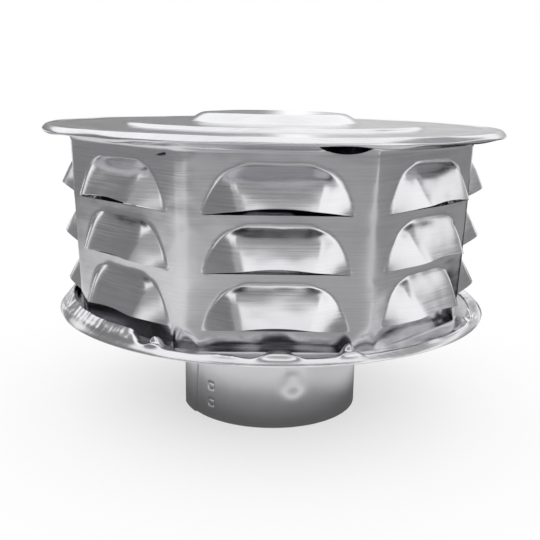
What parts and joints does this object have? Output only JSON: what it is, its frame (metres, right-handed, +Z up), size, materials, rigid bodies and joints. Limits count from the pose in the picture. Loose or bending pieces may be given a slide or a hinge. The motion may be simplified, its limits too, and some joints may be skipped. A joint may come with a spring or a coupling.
{
  "type": "vent cap",
  "caption": "Octagonal louvred vent cap of sheet aluminium with a round top plate, a base pan and a round collar that slides into a flue pipe.",
  "frame": {"origin": "centre of the collar's lower edge, on the cap's upright axis", "axes": "+Z up along the cap's axis, from the collar to the top plate; -Y is the way the front face of the octagonal drum looks; +X is to the right when looking at the front"},
  "size_m": [0.1924, 0.1924, 0.1283],
  "materials": {
    "mill_aluminium": "mill finish rolled sheet"
  },
  "bodies": {
    "root": {"top_plate": "mill_aluminium", "louvre_band": "mill_aluminium", "base_pan": "mill_aluminium", "flue_collar": "mill_aluminium"}
  },
  "joints": []
}
